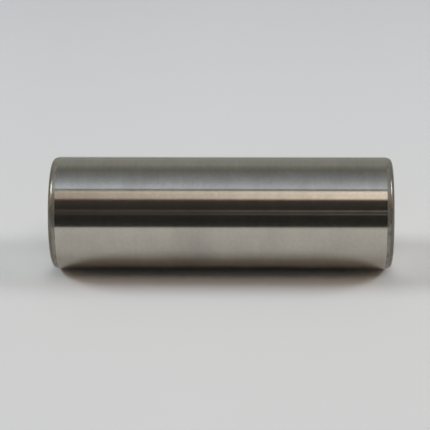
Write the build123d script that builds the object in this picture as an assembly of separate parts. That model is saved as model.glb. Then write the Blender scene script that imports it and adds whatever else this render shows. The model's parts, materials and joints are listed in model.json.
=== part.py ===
from build123d import *
import os
from math import cos, radians, tan

# Crank pin of a built-up crankshaft: a plain round pin, turned from one bar, hardened and ground.
# The same diameter runs from end to end. Each end is pressed into a crank web, and the big-end bearing
# runs on the middle. A shallow lead-in and a rounded corner at each end start the pin straight into the
# web's bore.
# The frame is in millimetres. The pin stands on its lower end, with its axis on Z and z = 0 at that end face.

# Driving sizes, in millimetres
pin_diameter = 22.0
pin_length = 66.5
lead_in_run = 1.4
corner_radius = 1.1

# Slope of the lead-in from the pin's axis, in degrees
lead_in_angle = 15.0

# The corner's arc uses at most this share of the lead-in's slope and of the end face's radius
arc_share = 0.9


def corner_arc_radius(slope_length, face_radius):
    """Radius of the corner between the lead-in and the end face, limited by the two walls that it joins."""
    arc_reach_per_radius = tan(radians((90.0 - lead_in_angle) / 2))
    longest_reach = arc_share * min(slope_length, face_radius)
    return min(corner_radius, longest_reach / arc_reach_per_radius)


def half_section():
    """Half of the pin's section, from its axis outwards, with lead-in and rounded corner at both ends."""
    ground_radius = pin_diameter / 2
    lead_in_drop = lead_in_run * tan(radians(lead_in_angle))
    slope_length = lead_in_run / cos(radians(lead_in_angle))
    face_radius = ground_radius - lead_in_drop

    axis_low, axis_high = (0, 0), (0, pin_length)
    corner_low, corner_high = (face_radius, 0), (face_radius, pin_length)
    ground_low = (ground_radius, lead_in_run)
    ground_high = (ground_radius, pin_length - lead_in_run)

    with BuildSketch(Plane.XZ) as section:
        with BuildLine():
            Polyline(axis_low, corner_low, ground_low, ground_high, corner_high, axis_high, close=True)
        make_face()
        corners = [section.vertices().sort_by_distance(corner)[0] for corner in (corner_low, corner_high)]
        fillet(corners, radius=corner_arc_radius(slope_length, face_radius))
    return section.sketch


def crank_pin():
    """The whole pin: its half section turned about the axis."""
    pin = revolve(half_section(), axis=Axis.Z)
    pin.label = "crank_pin"
    return pin


os.makedirs("parts", exist_ok=True)
export_step(crank_pin(), "parts/crank_pin.step")
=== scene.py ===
"""Crank pin: a turned, hardened and ground steel pin, and the studio that it is shown in.

The pin stands on its lower end face, with its axis on Z. The studio is laid out round a pin on its side. Its
table touches the pin along the side that faces -X, so "up" there is +X, "right" is -Z and "front" is -Y.
"""
import json
import math
from collections import namedtuple

import bpy
from bpy.props import FloatProperty, FloatVectorProperty, IntProperty, PointerProperty
from bpy.types import Operator, Panel, PropertyGroup
from mathutils import Matrix, Vector


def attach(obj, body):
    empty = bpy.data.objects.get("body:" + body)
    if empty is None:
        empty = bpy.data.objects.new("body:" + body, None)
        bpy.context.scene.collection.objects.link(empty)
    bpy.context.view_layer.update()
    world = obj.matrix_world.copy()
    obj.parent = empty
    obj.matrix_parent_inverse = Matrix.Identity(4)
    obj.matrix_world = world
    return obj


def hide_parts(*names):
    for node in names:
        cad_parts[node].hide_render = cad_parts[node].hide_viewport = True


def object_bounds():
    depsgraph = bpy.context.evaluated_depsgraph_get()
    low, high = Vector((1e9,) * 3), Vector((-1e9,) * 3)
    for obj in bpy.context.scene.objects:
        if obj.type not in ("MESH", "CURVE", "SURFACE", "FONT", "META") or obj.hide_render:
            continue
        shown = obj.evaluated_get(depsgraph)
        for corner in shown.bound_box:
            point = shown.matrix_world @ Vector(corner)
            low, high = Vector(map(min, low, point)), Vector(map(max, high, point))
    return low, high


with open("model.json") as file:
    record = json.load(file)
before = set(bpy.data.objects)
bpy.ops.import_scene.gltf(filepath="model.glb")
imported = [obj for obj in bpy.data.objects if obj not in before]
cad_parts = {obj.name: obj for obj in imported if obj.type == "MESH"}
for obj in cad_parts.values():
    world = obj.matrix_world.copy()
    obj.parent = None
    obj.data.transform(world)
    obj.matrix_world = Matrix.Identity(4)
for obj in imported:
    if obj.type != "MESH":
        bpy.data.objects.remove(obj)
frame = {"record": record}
cad_low, cad_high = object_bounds()
ground_mount = next(m for m in frame["record"]["mounts"] if m["name"] == "ground_diameter")

bl_info = {
    "name": "Crank pin",
    "version": (1, 0, 0),
    "blender": (4, 5, 0),
    "location": "3D View > Sidebar > Crank pin",
    "description": "Makes a ground steel crank pin and the studio that it is shown in",
    "category": "Add Mesh",
}

MM = 0.001
PIN_LENGTH = cad_high.z - cad_low.z
GROUND_RADIUS = ground_mount["dims"]["r_mm"] * MM
GROUND_LENGTH = ground_mount["dims"]["length_mm"] * MM
BLACK = (0.0, 0.0, 0.0)


# Settings


class CrankPinSizes(PropertyGroup):
    """Sizes of the pin. The defaults come from the frame, and the end form from the turned part."""

    ground_radius: FloatProperty(
        name="Ground radius", description="Radius of the ground diameter",
        default=GROUND_RADIUS, unit="LENGTH")
    length: FloatProperty(
        name="Length", description="Length over both end faces",
        default=PIN_LENGTH, unit="LENGTH")
    lead_in_run: FloatProperty(
        name="Lead-in run", description="Length of each lead-in along the axis, up to the end face",
        default=(PIN_LENGTH - GROUND_LENGTH) / 2, unit="LENGTH")
    lead_in_angle: FloatProperty(
        name="Lead-in angle", description="Slope of the lead-in from the pin's axis",
        default=math.radians(15.0), unit="ROTATION")
    corner_radius: FloatProperty(
        name="Corner radius", description="Rounding between the lead-in and the end face",
        default=1.1 * MM, unit="LENGTH")
    ring_spacing: FloatProperty(
        name="Ring spacing", description="Longest step of the mesh along a straight part of the section",
        default=3.0 * MM, unit="LENGTH")
    corner_steps: IntProperty(
        name="Corner steps", description="Steps round each corner's arc", default=24)
    round_steps: IntProperty(
        name="Round steps", description="Steps round the pin", default=256)


class CrankPinFinish(PropertyGroup):
    """Colours and finish of the steel."""

    ground_colour: FloatVectorProperty(
        name="Ground steel", description="Colour of the ground steel",
        default=(0.50, 0.465, 0.405), subtype="COLOR", min=0.0, max=1.0)
    ground_roughness: FloatProperty(
        name="Ground roughness", description="Roughness of the ground diameter",
        default=0.19, subtype="FACTOR")
    mark_strength: FloatProperty(
        name="Grinding marks", description="How much the fine marks round the pin change its colour",
        default=0.035, subtype="FACTOR")
    grain_strength: FloatProperty(
        name="Grain", description="How much fine grain changes the ground steel's colour",
        default=0.035, subtype="FACTOR")
    cloud_strength: FloatProperty(
        name="Clouding", description="How much broad patches darken the ground steel",
        default=0.09, subtype="FACTOR")
    # Darkens the colour of a faint patch on the lower front of the ground steel
    smear_strength: FloatProperty(
        name="Smear", description="How much the smear from handling darkens the steel",
        default=0.14, subtype="FACTOR")
    turned_colour: FloatVectorProperty(
        name="Turned steel", description="Colour of the dull lead-ins",
        default=(0.29, 0.275, 0.24), subtype="COLOR", min=0.0, max=1.0)
    turned_roughness: FloatProperty(
        name="Turned roughness", description="Roughness of the lead-ins",
        default=0.235, subtype="FACTOR")
    ring_strength: FloatProperty(
        name="Turning marks", description="How much turning marks change the lead-ins' colour",
        default=0.12, subtype="FACTOR")
    ring_bump: FloatProperty(
        name="Turning bump", description="Depth of the turning marks",
        default=0.3, subtype="FACTOR")
    speck_strength: FloatProperty(
        name="Specks", description="How dark the short specks on the lead-ins are",
        default=0.4, subtype="FACTOR")
    faced_colour: FloatVectorProperty(
        name="Faced steel", description="Colour of the bright end faces",
        default=(0.72, 0.69, 0.63), subtype="COLOR", min=0.0, max=1.0)
    faced_roughness: FloatProperty(
        name="Faced roughness", description="Roughness of the end faces",
        default=0.26, subtype="FACTOR")
    faced_strength: FloatProperty(
        name="Facing marks", description="How much facing marks change the end faces' colour",
        default=0.11, subtype="FACTOR")


class CrankPinStudio(PropertyGroup):
    """The table, lights and camera."""

    table_roughness: FloatProperty(
        name="Table roughness", description="Roughness of the table's chalky top",
        default=0.5, subtype="FACTOR")
    backdrop_colour: FloatVectorProperty(
        name="Backdrop", description="What the camera sees past the table",
        default=(0.61, 0.62, 0.62), subtype="COLOR")
    left_power: FloatProperty(
        name="Left lamp power", description="Power of the left-hand lamp",
        default=0.48, unit="POWER")
    right_power: FloatProperty(
        name="Right lamp power", description="Power of the right-hand lamp",
        default=0.38, unit="POWER")
    lamp_colour: FloatVectorProperty(
        name="Lamp colour", description="Colour of both side lamps",
        default=(0.75, 0.92, 1.0), subtype="COLOR")
    lamp_width: FloatProperty(
        name="Lamp width", description="Width of each side lamp across the pin, as a share of its distance",
        default=0.34, subtype="FACTOR")
    lamp_height: FloatProperty(
        name="Lamp height", description="Height of each side lamp's face, as a share of its distance",
        default=0.19, subtype="FACTOR")
    camera_distance: FloatProperty(
        name="Camera distance", description="From the middle of the pin",
        default=0.374, unit="LENGTH")
    camera_elevation: FloatProperty(
        name="Camera elevation", description="Above the table",
        default=math.radians(25.0), unit="ROTATION")
    camera_yaw: FloatProperty(
        name="Camera yaw", description="Towards the pin's right-hand end",
        default=math.radians(1.4), unit="ROTATION")
    camera_roll: FloatProperty(
        name="Camera roll", description="Turns the picture clockwise",
        default=math.radians(0.12), unit="ROTATION")
    camera_angle: FloatProperty(
        name="Field of view", description="Across the square picture",
        default=math.radians(12.905), unit="ROTATION")


# Nodes


def opaque(colour):
    """A colour with its alpha."""
    return (*colour, 1.0)


class NodeBuilder:
    """Adds nodes to one tree, with a number, a colour or another node's output for each input."""

    def __init__(self, tree):
        self.tree = tree

    def add(self, kind, settings=None, **inputs):
        """A node of one kind. Settings are its properties, and inputs are its sockets by name."""
        node = self.tree.nodes.new(kind)
        for name, value in (settings or {}).items():
            setattr(node, name, value)
        for name, value in inputs.items():
            self.feed(node.inputs[name.replace("_", " ")], value)
        return node

    def feed(self, socket, value):
        """Links a socket to an output, or sets its value."""
        if isinstance(value, bpy.types.NodeSocket):
            self.tree.links.new(value, socket)
        else:
            socket.default_value = value

    def pair(self, kind, operation, first, second):
        """A node of one operation with two inputs."""
        node = self.add(kind, {"operation": operation})
        self.feed(node.inputs[0], first)
        self.feed(node.inputs[1], second)
        return node

    def math(self, operation, first, second=0.0):
        """The result of a Math node."""
        return self.pair("ShaderNodeMath", operation, first, second).outputs["Value"]

    def vector_math(self, operation, first, second):
        """The result of a Vector Math node."""
        return self.pair("ShaderNodeVectorMath", operation, first, second).outputs["Vector"]

    def length(self, vector):
        """How long a vector is."""
        return self.add("ShaderNodeVectorMath", {"operation": "LENGTH"}, Vector=vector).outputs["Value"]

    def parts(self, vector):
        """The X, Y and Z of a vector, by name."""
        return self.add("ShaderNodeSeparateXYZ", Vector=vector).outputs

    def scaled(self, value, low, high, to_low=0.0, to_high=1.0, smooth=False):
        """A value mapped from one range to another, and held at its ends."""
        node = self.add(
            "ShaderNodeMapRange", {"interpolation_type": "SMOOTHSTEP" if smooth else "LINEAR"},
            Value=value, From_Min=low, From_Max=high, To_Min=to_low, To_Max=to_high)
        return node.outputs["Result"]

    def mixed(self, share, first, second, blend="MIX"):
        """Two colours mixed by a share."""
        node = self.add("ShaderNodeMix", {"data_type": "RGBA", "blend_type": blend}, Factor=share)
        colour_inputs = (socket for socket in node.inputs if socket.type == "RGBA")
        for socket, colour in zip(colour_inputs, (first, second)):
            self.feed(socket, colour)
        return next(socket for socket in node.outputs if socket.type == "RGBA")

    def shaded(self, colour, share, low, high):
        """A colour made darker or lighter, from low to high times as light, by a share from 0 to 1."""
        grey = self.mixed(share, opaque([low] * 3), opaque([high] * 3))
        return self.mixed(1.0, colour, grey, "MULTIPLY")

    def mixed_shader(self, share, first, second):
        """Two shaders mixed by a share."""
        node = self.add("ShaderNodeMixShader", Fac=share)
        self.feed(node.inputs[1], first)
        self.feed(node.inputs[2], second)
        return node.outputs["Shader"]


def new_material(name):
    """An empty material and a builder for its nodes."""
    material = bpy.data.materials.new(name)
    material.use_nodes = True
    material.node_tree.nodes.clear()
    return material, NodeBuilder(material.node_tree)


# The steel's three finishes

# Marks in the steel, per metre, and how many times as long as wide they are, round the pin
GRINDING_MARKS, GRINDING_STRETCH = 1100.0, 12.0
TURNING_MARKS, TURNING_STRETCH = 4500.0, 5.0
SPECKS, SPECK_STRETCH = 2600.0, 3.0
FACING_MARKS = 2500.0
GRAIN = 1900.0
CLOUDS = 220.0
# The parts of the noise that a pattern runs over: nearly all of it, its middle, and its peaks alone
WIDE_NOISE = (0.3, 0.7)
CRISP_NOISE = (0.35, 0.65)
PEAK_NOISE = (0.56, 0.68)
ROUGHNESS_SPREAD = 0.01
# Marks blur what the steel mirrors across them, a quarter turn from the way that they run
ACROSS_MARKS = 0.25
# The warm tint of the lead-ins' shine
TURNED_TINT = (1.0, 0.85, 0.70, 1.0)
TURNING_DEPTH = 0.01 * MM
# The rounded corner at each end is darker and less metallic than the cone inside it
DARK_RIM = (0.5 * MM, 0.95 * MM)
RIM_SHADE = 0.55
RIM_METAL = 0.3
CONE_METAL = 0.52
# A faint darker patch in the colour, on the lower front of the ground diameter
DARK_PATCH_SPOT = (-3.5 * MM, -10.0 * MM, 38.8 * MM)
DARK_PATCH_REACH = (15.0 * MM, 15.0 * MM, 6.5 * MM)


def object_place(nodes):
    """Where a point of the piece is."""
    return nodes.add("ShaderNodeTexCoord").outputs["Object"]


def round_tangent(nodes, place):
    """The direction round the pin, which the grinding, turning and facing marks follow."""
    return nodes.vector_math("CROSS_PRODUCT", (0.0, 0.0, 1.0), place)


def marks_round(nodes, place, marks, stretch, used, detail=3.0, roughness=0.6):
    """Noise drawn out round the pin, with the used part of it spread from 0 to 1."""
    stretched = nodes.vector_math("MULTIPLY", place, (marks / stretch, marks / stretch, marks))
    noise = nodes.add(
        "ShaderNodeTexNoise", Vector=stretched, Scale=1.0, Detail=detail, Roughness=roughness)
    return nodes.scaled(noise.outputs["Fac"], *used)


def near_spot(nodes, place, spot, reach):
    """How near a place is to a spot, from 0 at its reach to 1."""
    away = nodes.vector_math("SUBTRACT", place, spot)
    away = nodes.vector_math("DIVIDE", away, reach)
    return nodes.scaled(nodes.length(away), 0.0, 1.0, 1.0, 0.0, smooth=True)


def ground_steel(finish):
    """The mirror-bright ground diameter. Fine marks round the pin blur what it mirrors along the pin."""
    material, nodes = new_material("ground_steel")
    place = object_place(nodes)
    marks = marks_round(nodes, place, GRINDING_MARKS, GRINDING_STRETCH, WIDE_NOISE, detail=5.0, roughness=0.8)
    grain = marks_round(nodes, place, GRAIN, 1.0, WIDE_NOISE, detail=1.0)
    clouds = nodes.add("ShaderNodeTexNoise", Vector=place, Scale=CLOUDS, Detail=2.0).outputs["Fac"]
    clouds = nodes.scaled(clouds, *WIDE_NOISE)
    dark_patch = near_spot(nodes, place, DARK_PATCH_SPOT, DARK_PATCH_REACH)
    colour = opaque(finish.ground_colour)
    colour = nodes.shaded(colour, marks, 1 - finish.mark_strength, 1 + finish.mark_strength)
    colour = nodes.shaded(colour, grain, 1 - finish.grain_strength, 1 + finish.grain_strength)
    colour = nodes.shaded(colour, clouds, 1 - finish.cloud_strength, 1.0)
    # A faint darker patch in the colour, on the lower front of the ground diameter
    colour = nodes.shaded(colour, dark_patch, 1.0, 1 - finish.smear_strength)
    rough = finish.ground_roughness
    rough = nodes.scaled(marks, 0.0, 1.0, rough - ROUGHNESS_SPREAD, rough + ROUGHNESS_SPREAD)
    shader = nodes.add(
        "ShaderNodeBsdfPrincipled", Base_Color=colour, Metallic=1.0, Roughness=rough,
        Anisotropic=1.0, Anisotropic_Rotation=ACROSS_MARKS, Tangent=round_tangent(nodes, place))
    nodes.add("ShaderNodeOutputMaterial", Surface=shader.outputs["BSDF"])
    return material


def turned_steel(finish):
    """The duller lead-ins, with short marks left by the lathe and the furnace."""
    material, nodes = new_material("turned_steel")
    place = object_place(nodes)
    rings = marks_round(nodes, place, TURNING_MARKS, TURNING_STRETCH, CRISP_NOISE)
    specks = marks_round(nodes, place, SPECKS, SPECK_STRETCH, PEAK_NOISE, detail=1.0)
    height = nodes.parts(place)["Z"]
    depth = nodes.math("MINIMUM", height, nodes.math("SUBTRACT", PIN_LENGTH, height))
    cone = nodes.scaled(depth, *DARK_RIM, smooth=True)
    metal = nodes.scaled(cone, 0.0, 1.0, RIM_METAL, CONE_METAL)
    colour = opaque(finish.turned_colour)
    colour = nodes.shaded(colour, rings, 1 - finish.ring_strength, 1 + finish.ring_strength)
    colour = nodes.shaded(colour, specks, 1.0, 1 - finish.speck_strength)
    colour = nodes.shaded(colour, cone, RIM_SHADE, 1.0)
    bump = nodes.add("ShaderNodeBump", Height=rings, Strength=finish.ring_bump, Distance=TURNING_DEPTH)
    shader = nodes.add(
        "ShaderNodeBsdfPrincipled", Base_Color=colour, Metallic=metal, Roughness=finish.turned_roughness,
        Specular_Tint=TURNED_TINT, Normal=bump.outputs["Normal"])
    nodes.add("ShaderNodeOutputMaterial", Surface=shader.outputs["BSDF"])
    return material


def faced_steel(finish):
    """The bright end faces, with faint rings from facing them."""
    material, nodes = new_material("faced_steel")
    place = object_place(nodes)
    radius = nodes.length(nodes.vector_math("MULTIPLY", place, (1.0, 1.0, 0.0)))
    rings = nodes.add(
        "ShaderNodeTexNoise", {"noise_dimensions": "1D"}, W=radius, Scale=FACING_MARKS, Detail=3.0)
    rings = nodes.scaled(rings.outputs["Fac"], *WIDE_NOISE)
    colour = opaque(finish.faced_colour)
    colour = nodes.shaded(colour, rings, 1 - finish.faced_strength, 1 + finish.faced_strength)
    shader = nodes.add(
        "ShaderNodeBsdfPrincipled", Base_Color=colour, Metallic=1.0, Roughness=finish.faced_roughness,
        Anisotropic=0.9, Anisotropic_Rotation=ACROSS_MARKS, Tangent=round_tangent(nodes, place))
    nodes.add("ShaderNodeOutputMaterial", Surface=shader.outputs["BSDF"])
    return material


# The pin's shape

MERGE_DISTANCE = 1e-6
# Edges steeper than this stay sharp
SHARP_ANGLE = math.radians(8.0)
# The mesh this close to an end belongs to its flat face
FACE_DEPTH = 0.02 * MM


def pin_inputs(sizes, finish):
    """The node tree's inputs by name, each with its kind of socket and its value."""
    return {
        "Ground Radius": ("NodeSocketFloat", sizes.ground_radius),
        "Length": ("NodeSocketFloat", sizes.length),
        "Lead-in Run": ("NodeSocketFloat", sizes.lead_in_run),
        "Lead-in Angle": ("NodeSocketFloat", sizes.lead_in_angle),
        "Corner Radius": ("NodeSocketFloat", sizes.corner_radius),
        "Ring Spacing": ("NodeSocketFloat", sizes.ring_spacing),
        "Corner Steps": ("NodeSocketInt", sizes.corner_steps),
        "Round Steps": ("NodeSocketInt", sizes.round_steps),
        "Ground Steel": ("NodeSocketMaterial", ground_steel(finish)),
        "Turned Steel": ("NodeSocketMaterial", turned_steel(finish)),
        "Faced Steel": ("NodeSocketMaterial", faced_steel(finish)),
    }


def sampled(nodes, geometry, number):
    """The position of one point of a geometry."""
    position = nodes.add("GeometryNodeInputPosition").outputs["Position"]
    node = nodes.add(
        "GeometryNodeSampleIndex", {"data_type": "FLOAT_VECTOR", "domain": "POINT"},
        Geometry=geometry, Value=position, Index=number)
    return node.outputs["Value"]


def half_section(nodes, given):
    """The pin's half section as a curve, from the axis at the lower end face to the axis at the upper one."""
    drop = nodes.math("MULTIPLY", given["Lead-in Run"], nodes.math("TANGENT", given["Lead-in Angle"]))
    face_radius = nodes.math("SUBTRACT", given["Ground Radius"], drop)
    ground_end = nodes.math("SUBTRACT", given["Length"], given["Lead-in Run"])
    corners = (
        (0.0, 0.0),
        (face_radius, 0.0),
        (given["Ground Radius"], given["Lead-in Run"]),
        (given["Ground Radius"], ground_end),
        (face_radius, given["Length"]),
        (0.0, given["Length"]),
    )
    rounded_corners = (1.0, 4.0)

    index = nodes.add("GeometryNodeInputIndex").outputs["Index"]
    place = nodes.add("GeometryNodeIndexSwitch", {"data_type": "VECTOR"})
    while len(place.index_switch_items) < len(corners):
        place.index_switch_items.new()
    nodes.feed(place.inputs["Index"], index)
    for number, (radius, height) in enumerate(corners):
        corner = nodes.add("ShaderNodeCombineXYZ", X=radius, Z=height).outputs["Vector"]
        nodes.feed(place.inputs[str(number)], corner)
    line = nodes.add("GeometryNodeCurvePrimitiveLine").outputs["Curve"]
    line = nodes.add("GeometryNodeResampleCurve", Curve=line, Count=len(corners)).outputs["Curve"]
    section = nodes.add("GeometryNodeSetPosition", Geometry=line, Position=place.outputs["Output"])

    first, second = (nodes.math("COMPARE", index, number) for number in rounded_corners)
    radius = nodes.math("MULTIPLY", nodes.math("ADD", first, second), given["Corner Radius"])
    section = nodes.add(
        "GeometryNodeFilletCurve", {"mode": "POLY"}, Curve=section.outputs["Geometry"],
        Count=given["Corner Steps"], Radius=radius).outputs["Curve"]

    # Long straight parts get rings between their ends
    position = nodes.add("GeometryNodeInputPosition").outputs["Position"]
    ahead = sampled(nodes, section, nodes.math("ADD", index, 1.0))
    step = nodes.length(nodes.vector_math("SUBTRACT", ahead, position))
    cuts = nodes.math("FLOOR", nodes.math("DIVIDE", step, given["Ring Spacing"]))
    return nodes.add("GeometryNodeSubdivideCurve", Curve=section, Cuts=cuts).outputs["Curve"]


def turned_about_axis(nodes, section, round_steps):
    """A grid bent round Z, with one row for each point of the section and one column for each step round."""
    rows = nodes.add("GeometryNodeAttributeDomainSize", {"component": "CURVE"}, Geometry=section)
    columns = nodes.math("ADD", round_steps, 1.0)
    grid = nodes.add("GeometryNodeMeshGrid", Vertices_X=rows.outputs["Point Count"], Vertices_Y=columns)
    index = nodes.add("GeometryNodeInputIndex").outputs["Index"]
    row = nodes.math("FLOOR", nodes.math("DIVIDE", index, columns))
    column = nodes.math("MODULO", index, columns)
    turn = nodes.math("MULTIPLY", nodes.math("DIVIDE", column, round_steps), math.tau)
    spot = nodes.parts(sampled(nodes, section, row))
    bent = nodes.add(
        "ShaderNodeCombineXYZ", X=nodes.math("MULTIPLY", spot["X"], nodes.math("COSINE", turn)),
        Y=nodes.math("MULTIPLY", spot["X"], nodes.math("SINE", turn)), Z=spot["Z"])
    mesh = nodes.add(
        "GeometryNodeSetPosition", Geometry=grid.outputs["Mesh"], Position=bent.outputs["Vector"])
    merged = nodes.add(
        "GeometryNodeMergeByDistance", Geometry=mesh.outputs["Geometry"], Distance=MERGE_DISTANCE)
    return merged.outputs["Geometry"]


def smooth_but_sharp_edges(nodes, mesh):
    """Shades a mesh smooth, but keeps the edge that grinding leaves at each lead-in sharp."""
    mesh = nodes.add("GeometryNodeSetShadeSmooth", {"domain": "FACE"}, Geometry=mesh)
    angle = nodes.add("GeometryNodeInputMeshEdgeAngle").outputs["Unsigned Angle"]
    mesh = nodes.add(
        "GeometryNodeSetShadeSmooth", {"domain": "EDGE"}, Geometry=mesh.outputs["Geometry"],
        Selection=nodes.math("GREATER_THAN", angle, SHARP_ANGLE), Shade_Smooth=False)
    return mesh.outputs["Geometry"]


def with_material(nodes, mesh, material, selection=True):
    """Gives a mesh, or the selected part of it, a material."""
    node = nodes.add("GeometryNodeSetMaterial", Geometry=mesh, Material=material, Selection=selection)
    return node.outputs["Geometry"]


def turned_pin_tree(inputs):
    """Geometry Nodes that turn the pin's half section about Z. Returns the tree and each input's value."""
    tree = bpy.data.node_groups.new("Turned pin", "GeometryNodeTree")
    tree.interface.new_socket("Geometry", in_out="OUTPUT", socket_type="NodeSocketGeometry")
    settings = {}
    for name, (kind, value) in inputs.items():
        socket = tree.interface.new_socket(name, in_out="INPUT", socket_type=kind)
        socket.default_value = value
        settings[socket.identifier] = value

    nodes = NodeBuilder(tree)
    given = nodes.add("NodeGroupInput").outputs
    mesh = turned_about_axis(nodes, half_section(nodes, given), given["Round Steps"])
    mesh = smooth_but_sharp_edges(nodes, mesh)
    mesh = nodes.add("GeometryNodeRealizeInstances", Geometry=mesh).outputs["Geometry"]
    mesh = with_material(nodes, mesh, given["Ground Steel"])
    position = nodes.add("GeometryNodeInputPosition").outputs["Position"]
    height = nodes.parts(position)["Z"]
    for depth, material in ((given["Lead-in Run"], "Turned Steel"), (FACE_DEPTH, "Faced Steel")):
        below = nodes.math("LESS_THAN", height, depth)
        above = nodes.math("GREATER_THAN", height, nodes.math("SUBTRACT", given["Length"], depth))
        mesh = with_material(nodes, mesh, given[material], nodes.math("ADD", below, above))
    nodes.add("NodeGroupOutput", Geometry=mesh)
    return tree, settings


def built_by(tree, settings, name):
    """A plain mesh object that a Geometry Nodes tree makes."""
    scene = bpy.context.scene
    carrier = bpy.data.objects.new(name + "_carrier", bpy.data.meshes.new(name + "_carrier"))
    scene.collection.objects.link(carrier)
    modifier = carrier.modifiers.new("Turned pin", "NODES")
    modifier.node_group = tree
    for identifier, value in settings.items():
        modifier[identifier] = value
    depsgraph = bpy.context.evaluated_depsgraph_get()
    mesh = bpy.data.meshes.new_from_object(
        carrier.evaluated_get(depsgraph), preserve_all_data_layers=True, depsgraph=depsgraph)
    mesh.name = name
    bpy.data.objects.remove(carrier)
    piece = bpy.data.objects.new(name, mesh)
    scene.collection.objects.link(piece)
    return piece


class CRANKPIN_OT_pin(Operator):
    """Make the crank pin: one turned and ground steel pin, in place of the plain solid"""

    bl_idname = "crank_pin.make_pin"
    bl_label = "Make crank pin"

    def execute(self, context):
        inputs = pin_inputs(context.scene.crank_pin_sizes, context.scene.crank_pin_finish)
        tree, settings = turned_pin_tree(inputs)
        pin = built_by(tree, settings, "ground_crank_pin")
        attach(pin, "root")
        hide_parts("crank_pin")
        return {"FINISHED"}


# The studio, laid out round a pin on its side

MIDDLE = Vector((0.0, 0.0, PIN_LENGTH / 2))
RIGHT = Vector((0.0, 0.0, -1.0))
UP = Vector((1.0, 0.0, 0.0))
FRONT = Vector((0.0, -1.0, 0.0))

# Painted light and shade on the table's top, from front to back, by distance behind the pin's axis in metres
TABLE_PAINTED_SHADES = (
    (-0.16, (0.69, 0.68, 0.69)),
    (-0.075, (0.88, 0.90, 0.92)),
    (0.01, (0.82, 0.82, 0.83)),
    (0.15, (0.77, 0.79, 0.83)),
)
# Painted shade: how much darker the table is on the left, and from where to where
TABLE_PAINTED_SHADE_LEFT = (PIN_LENGTH / 2 + 5.0 * MM, PIN_LENGTH / 2 + 45.0 * MM)
TABLE_LEFT_PAINTED_SHADE = 0.965
# Its front edge runs aslant past the pin and square beyond that
TABLE_SIDE = 450.0 * MM
TABLE_BACK = 600.0 * MM
TABLE_FRONT = 163.0 * MM
TABLE_SLANT_SIDE = 80.0 * MM
TABLE_SLANT = 0.25

LAMP_DISTANCE = 350.0 * MM
# Each side lamp's height, and its lean behind the pin
LEFT_LAMP_ANGLES = (math.radians(38.5), math.radians(0.5))
RIGHT_LAMP_ANGLES = (math.radians(37.5), math.radians(4.5))

# How far right of the picture's centre and above it the middle of the pin lies
PIN_RIGHT_OF_CENTRE = 1.37687 * MM
PIN_ABOVE_CENTRE = 0.43666 * MM
CAMERA_CLIP = 10.0 * MM

# The colours of the light round the pin, at full strength
LAMP_WARM = (1.0, 0.87, 0.76)
LAMP_PALE = (1.0, 0.96, 0.92)
CEILING_BLUE = (0.72, 0.82, 1.0)
CEILING_GREY = (0.82, 0.89, 1.0)
WALL_GREY = (0.96, 1.0, 0.96)
ROOM_GREY = (1.0, 1.0, 0.98)
SIDE_WARM = (1.0, 0.60, 0.30)
SIDE_COOL = (0.62, 0.87, 1.0)


def lit(colour, strength):
    """A colour of light at a strength, where 1 is white."""
    return tuple(part * strength for part in colour)


# A band of what the pin mirrors: its two ends, how softly it starts and stops, and the light at both.
# Its angles are in degrees: 0 is level at the front, 90 straight up and 180 level at the back
Band = namedtuple("Band", "name low high low_soft high_soft low_light high_light")
ROOM_BANDS = (
    Band("dark room", -8.0, 53.0, 4.0, 5.0, lit(ROOM_GREY, 0.025), lit(ROOM_GREY, 0.05)),
    Band("near ceiling", 74.5, 104.0, 1.5, 1.0, lit(CEILING_BLUE, 0.80), lit(CEILING_GREY, 0.39)),
    Band("far ceiling", 104.0, 122.0, 1.0, 1.0, lit(CEILING_GREY, 0.38), lit(WALL_GREY, 0.22)),
    Band("low back wall", 122.0, 140.0, 1.0, 1.0, lit(WALL_GREY, 0.21), lit(WALL_GREY, 0.34)),
    Band("back wall", 140.0, 184.0, 1.0, 1.0, lit(WALL_GREY, 0.38), lit(WALL_GREY, 0.38)),
)
# The long lamp over the front of the table, in two bands. It is bright on the right and fades out on the left
STRIP_BANDS = (
    Band("lamp strip", 53.0, 65.0, 5.0, 2.0, lit(LAMP_WARM, 3.0), lit(LAMP_PALE, 2.3)),
    Band("lamp strip's edge", 65.0, 70.8, 2.0, 1.5, lit(LAMP_WARM, 3.2), lit(LAMP_PALE, 2.0)),
)
# Where it fades in, in degrees to the right
STRIP_FADE = (-11.0, 16.0)
# Two faint bars under it, on the right only
BAR_BANDS = (
    Band("lower bar", 21.5, 23.5, 2.0, 2.0, lit(LAMP_WARM, 0.45), lit(LAMP_WARM, 0.45)),
    Band("upper bar", 27.2, 29.8, 2.0, 2.0, lit(LAMP_WARM, 0.52), lit(LAMP_WARM, 0.52)),
)
BAR_FADE = (1.2, 4.8)
# Where the lamp and the bars stop, in degrees to the right
STRIP_END = (20.0, 34.0)
# The room past both ends of the pin, which starts this many degrees to either side
SIDE_BANDS = (
    Band("side ceiling", 60.0, 125.0, 40.0, 40.0, lit(SIDE_WARM, 1.85), lit(SIDE_WARM, 1.85)),
    Band("side wall", 125.0, 184.0, 40.0, 4.0, lit(SIDE_COOL, 0.33), lit(SIDE_COOL, 0.33)),
)
SIDE_START = (35.0, 50.0)


def studio_place(right, up, front):
    """A point of the studio, from the middle of the pin, in metres."""
    return MIDDLE + RIGHT * right + UP * up + FRONT * front


def facing(location, target, up=UP):
    """A matrix at a place, whose -Z looks at a target."""
    back = (location - target).normalized()
    side = up.cross(back).normalized()
    top = back.cross(side)
    turn = Matrix((side, top, back)).transposed()
    return Matrix.Translation(location) @ turn.to_4x4()


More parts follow.
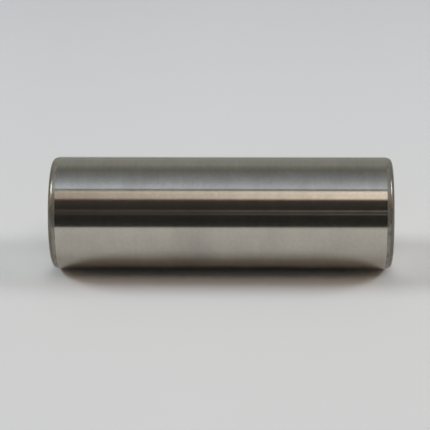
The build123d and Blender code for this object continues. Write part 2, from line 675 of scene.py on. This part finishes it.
def table_material(studio):
    """The table's pale chalky top, with painted light and shade from front to back and painted shade on its
    left. Its underside is clear, so that it doesn't hide the pin from behind.
    """
    material, nodes = new_material("studio_table")
    along = nodes.parts(object_place(nodes))
    # Painted light and shade: the colour runs through its stops from front to back, then darkens on the left
    colour = opaque(TABLE_PAINTED_SHADES[0][1])
    for (start, _), (end, shade) in zip(TABLE_PAINTED_SHADES, TABLE_PAINTED_SHADES[1:]):
        colour = nodes.mixed(nodes.scaled(along["Y"], start, end), colour, opaque(shade))
    colour = nodes.shaded(colour, nodes.scaled(along["Z"], *TABLE_PAINTED_SHADE_LEFT), 1.0, TABLE_LEFT_PAINTED_SHADE)
    matt = nodes.add("ShaderNodeBsdfDiffuse", Color=colour, Roughness=studio.table_roughness)
    clear = nodes.add("ShaderNodeBsdfTransparent")
    underside = nodes.add("ShaderNodeNewGeometry").outputs["Backfacing"]
    shader = nodes.mixed_shader(underside, matt.outputs["BSDF"], clear.outputs["BSDF"])
    nodes.add("ShaderNodeOutputMaterial", Surface=shader)
    return material


def make_table(studio):
    """The pale table that the pin lies against, with painted light and shade on its top."""
    slanted = [(right, TABLE_FRONT + right * TABLE_SLANT) for right in (-TABLE_SLANT_SIDE, TABLE_SLANT_SIDE)]
    outline = [
        (-TABLE_SIDE, slanted[0][1]),
        *slanted,
        (TABLE_SIDE, slanted[1][1]),
        (TABLE_SIDE, -TABLE_BACK),
        (-TABLE_SIDE, -TABLE_BACK),
    ]
    corners = [studio_place(right, -GROUND_RADIUS, front) for right, front in outline]
    mesh = bpy.data.meshes.new("studio_table")
    mesh.from_pydata(corners, [], [range(len(corners))])
    mesh.materials.append(table_material(studio))
    table = bpy.data.objects.new("studio_table", mesh)
    bpy.context.scene.collection.objects.link(table)


def make_lamps(studio):
    """Two soft lamps that look at the pin, one from each side."""
    lamps = (
        ("left_lamp", -1.0, LEFT_LAMP_ANGLES, studio.left_power),
        ("right_lamp", 1.0, RIGHT_LAMP_ANGLES, studio.right_power),
    )
    for name, side, (height, lean), power in lamps:
        light = bpy.data.lights.new(name, "AREA")
        light.shape = "RECTANGLE"
        light.size = studio.lamp_width * LAMP_DISTANCE
        light.size_y = studio.lamp_height * LAMP_DISTANCE
        light.energy = power
        light.color = studio.lamp_colour
        up = LAMP_DISTANCE * math.sin(height)
        out = side * LAMP_DISTANCE * math.cos(height)
        lamp = bpy.data.objects.new(name, light)
        lamp.matrix_world = facing(studio_place(out, up, -up * math.tan(lean)), MIDDLE)
        bpy.context.scene.collection.objects.link(lamp)


def banded_light(nodes, height, bands):
    """The light of all bands, by height."""
    light = opaque(BLACK)
    for band in bands:
        share = nodes.scaled(height, band.low, band.high)
        colour = nodes.mixed(share, opaque(band.low_light), opaque(band.high_light))
        low_half, high_half = band.low_soft / 2, band.high_soft / 2
        rise = nodes.scaled(height, band.low - low_half, band.low + low_half, smooth=True)
        fall = nodes.scaled(height, band.high - high_half, band.high + high_half, 1.0, 0.0, smooth=True)
        colour = nodes.mixed(nodes.math("MULTIPLY", rise, fall), opaque(BLACK), colour)
        light = nodes.mixed(1.0, light, colour, "ADD")
        light.node.label = band.name
    return light


def make_world(studio):
    """Light from all round: bands along the pin, and a plain backdrop where the camera looks past it."""
    world = bpy.data.worlds.new("crank_pin_studio")
    world.use_nodes = True
    world.node_tree.nodes.clear()
    nodes = NodeBuilder(world.node_tree)
    along = nodes.parts(nodes.add("ShaderNodeTexCoord").outputs["Generated"])
    front = nodes.math("MULTIPLY", along["Y"], -1.0)
    right = nodes.math("MULTIPLY", along["Z"], -1.0)
    height = nodes.math("DEGREES", nodes.math("ARCTAN2", along["X"], front))
    side = nodes.math("DEGREES", nodes.math("ARCSINE", right))

    middle = banded_light(nodes, height, ROOM_BANDS)
    before_end = nodes.scaled(side, *STRIP_END, 1.0, 0.0, smooth=True)
    for bands, fade in ((STRIP_BANDS, STRIP_FADE), (BAR_BANDS, BAR_FADE)):
        share = nodes.math("MULTIPLY", nodes.scaled(side, *fade, smooth=True), before_end)
        faded = nodes.mixed(share, opaque(BLACK), banded_light(nodes, height, bands))
        middle = nodes.mixed(1.0, middle, faded, "ADD")
    past_end = nodes.scaled(nodes.math("ABSOLUTE", side), *SIDE_START, smooth=True)
    light = nodes.mixed(past_end, middle, banded_light(nodes, height, SIDE_BANDS))

    room = nodes.add("ShaderNodeBackground", Color=light, Strength=1.0)
    backdrop = nodes.add("ShaderNodeBackground", Color=opaque(studio.backdrop_colour), Strength=1.0)
    camera_ray = nodes.add("ShaderNodeLightPath").outputs["Is Camera Ray"]
    shader = nodes.mixed_shader(camera_ray, room.outputs["Background"], backdrop.outputs["Background"])
    nodes.add("ShaderNodeOutputWorld", Surface=shader)
    bpy.context.scene.world = world


def make_camera(studio):
    """The camera at the photograph's viewing angle, turned so that the pin lies across the picture."""
    elevation, yaw = studio.camera_elevation, studio.camera_yaw
    towards = FRONT * math.cos(elevation) + UP * math.sin(elevation)
    towards = towards * math.cos(yaw) + RIGHT * math.sin(yaw)
    location = MIDDLE + towards * studio.camera_distance
    picture_up = UP * math.cos(elevation) - FRONT * math.sin(elevation)
    target = MIDDLE - RIGHT * PIN_RIGHT_OF_CENTRE - picture_up * PIN_ABOVE_CENTRE
    data = bpy.data.cameras.new("photo_camera")
    data.lens_unit = "FOV"
    data.angle = studio.camera_angle
    data.clip_start = CAMERA_CLIP
    camera = bpy.data.objects.new("photo_camera", data)
    camera.matrix_world = facing(location, target, picture_up) @ Matrix.Rotation(studio.camera_roll, 4, "Z")
    bpy.context.scene.collection.objects.link(camera)
    bpy.context.scene.camera = camera


class CRANKPIN_OT_studio(Operator):
    """Make the studio: the table, the soft light and the camera"""

    bl_idname = "crank_pin.make_studio"
    bl_label = "Make studio"

    def execute(self, context):
        studio = context.scene.crank_pin_studio
        make_table(studio)
        make_world(studio)
        make_lamps(studio)
        make_camera(studio)
        context.scene.view_settings.view_transform = "Standard"
        return {"FINISHED"}


class CRANKPIN_PT_panel(Panel):
    """Crank pin tools in the 3D view's sidebar"""

    bl_idname = "CRANKPIN_PT_panel"
    bl_label = "Crank pin"
    bl_space_type = "VIEW_3D"
    bl_region_type = "UI"
    bl_category = "Crank pin"

    def draw(self, context):
        for operator in (CRANKPIN_OT_pin, CRANKPIN_OT_studio):
            self.layout.operator(operator.bl_idname)


CLASSES = (
    CrankPinSizes, CrankPinFinish, CrankPinStudio, CRANKPIN_OT_pin, CRANKPIN_OT_studio, CRANKPIN_PT_panel)


def register():
    """Adds the classes and the scene's settings."""
    for cls in CLASSES:
        bpy.utils.register_class(cls)
    bpy.types.Scene.crank_pin_sizes = PointerProperty(type=CrankPinSizes)
    bpy.types.Scene.crank_pin_finish = PointerProperty(type=CrankPinFinish)
    bpy.types.Scene.crank_pin_studio = PointerProperty(type=CrankPinStudio)


def unregister():
    """Takes them away again."""
    del bpy.types.Scene.crank_pin_studio
    del bpy.types.Scene.crank_pin_finish
    del bpy.types.Scene.crank_pin_sizes
    for cls in reversed(CLASSES):
        bpy.utils.unregister_class(cls)


def main():
    """Makes the pin and its studio."""
    register()
    bpy.ops.crank_pin.make_pin()
    bpy.ops.crank_pin.make_studio()


if __name__ == "__main__":
    main()
